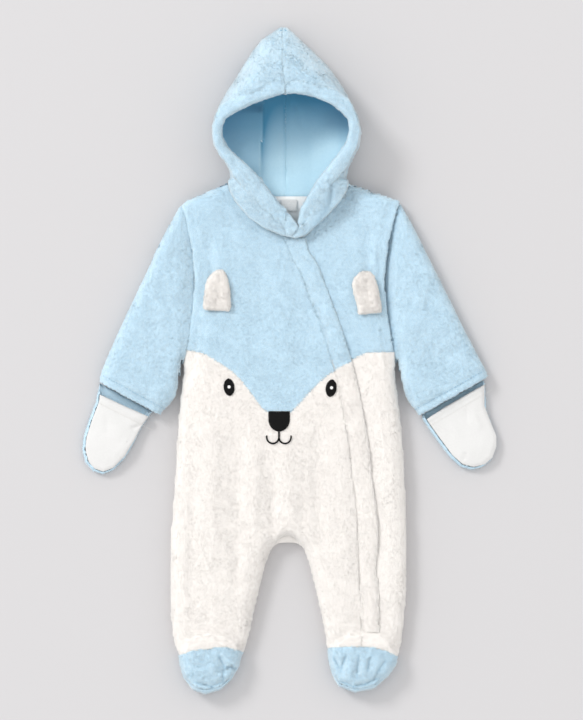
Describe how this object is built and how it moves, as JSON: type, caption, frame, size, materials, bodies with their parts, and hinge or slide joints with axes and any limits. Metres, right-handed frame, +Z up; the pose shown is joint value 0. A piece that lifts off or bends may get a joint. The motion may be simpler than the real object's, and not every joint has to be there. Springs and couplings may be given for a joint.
{
  "type": "footed baby sleepsuit",
  "caption": "Hooded, footed plush baby suit laid out flat, pale blue over cream, with a slanting full-length placket, fold-over mitts, padded ears and a stitched animal face.",
  "frame": {"origin": "on the floor under the middle of the laid-out suit", "axes": "+Y towards the top of the hood, +Z up from the floor, out of the suit's front, +X to the right as seen from above; node names say left and right as seen from above"},
  "size_m": [0.496, 0.8, 0.0702],
  "materials": {
    "blue_plush": "short plush pile",
    "white_plush": "short plush pile",
    "white_jersey": "smooth knit",
    "label_tape": "satin woven tape"
  },
  "bodies": {
    "root": {"front_overlap_upper": "blue_plush", "front_overlap_lower": "white_plush", "front_underlap_upper": "blue_plush", "front_underlap_lower": "white_plush", "placket_band_upper": "blue_plush", "placket_band_lower": "white_plush", "back_upper": "blue_plush", "back_lower": "white_plush", "sleeve_left": "blue_plush", "sleeve_right": "blue_plush", "mitt_back_left": "blue_plush", "mitt_back_right": "blue_plush", "mitt_front_left": "white_jersey", "mitt_front_right": "white_jersey", "foot_upper_left": "blue_plush", "foot_upper_right": "blue_plush", "foot_sole_left": "blue_plush", "foot_sole_right": "blue_plush", "ear_left": "white_plush", "ear_right": "white_plush", "hood_left": "blue_plush", "hood_right": "blue_plush", "hood_rim": "blue_plush", "neck_lining": "white_jersey", "neck_label": "label_tape"}
  },
  "joints": []
}
